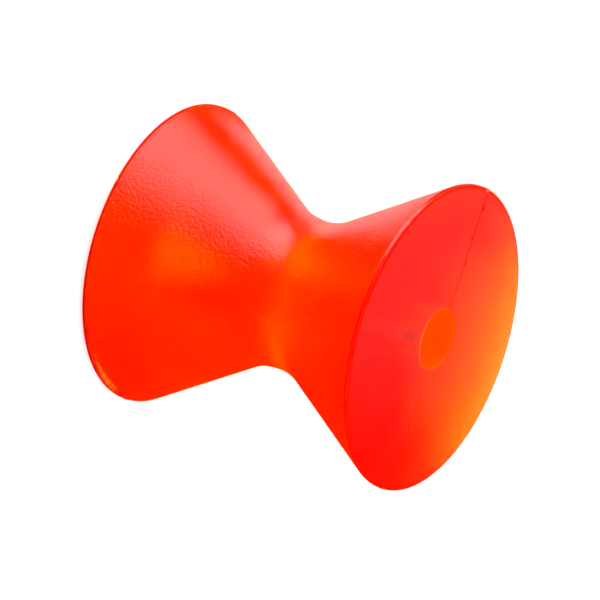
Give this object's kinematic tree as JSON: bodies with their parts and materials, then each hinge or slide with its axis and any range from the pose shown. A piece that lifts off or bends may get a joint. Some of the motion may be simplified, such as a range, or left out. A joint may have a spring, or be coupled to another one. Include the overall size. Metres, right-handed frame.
{
  "type": "boat trailer roller",
  "caption": "Moulded translucent roller with two cones meeting in a rounded waist and a plain through bore, for a boat trailer's bow stop.",
  "frame": {"origin": "centre of the lower thrust face, on the bore's axis", "axes": "+Z along the bore towards the upper end; the mould's parting plane is XZ"},
  "size_m": [0.0742, 0.074, 0.0762],
  "materials": {
    "polyurethane": "translucent red-orange moulded polyurethane, glossy, with fine orange peel on the cones"
  },
  "bodies": {
    "root": {"roller": "polyurethane"}
  },
  "joints": []
}
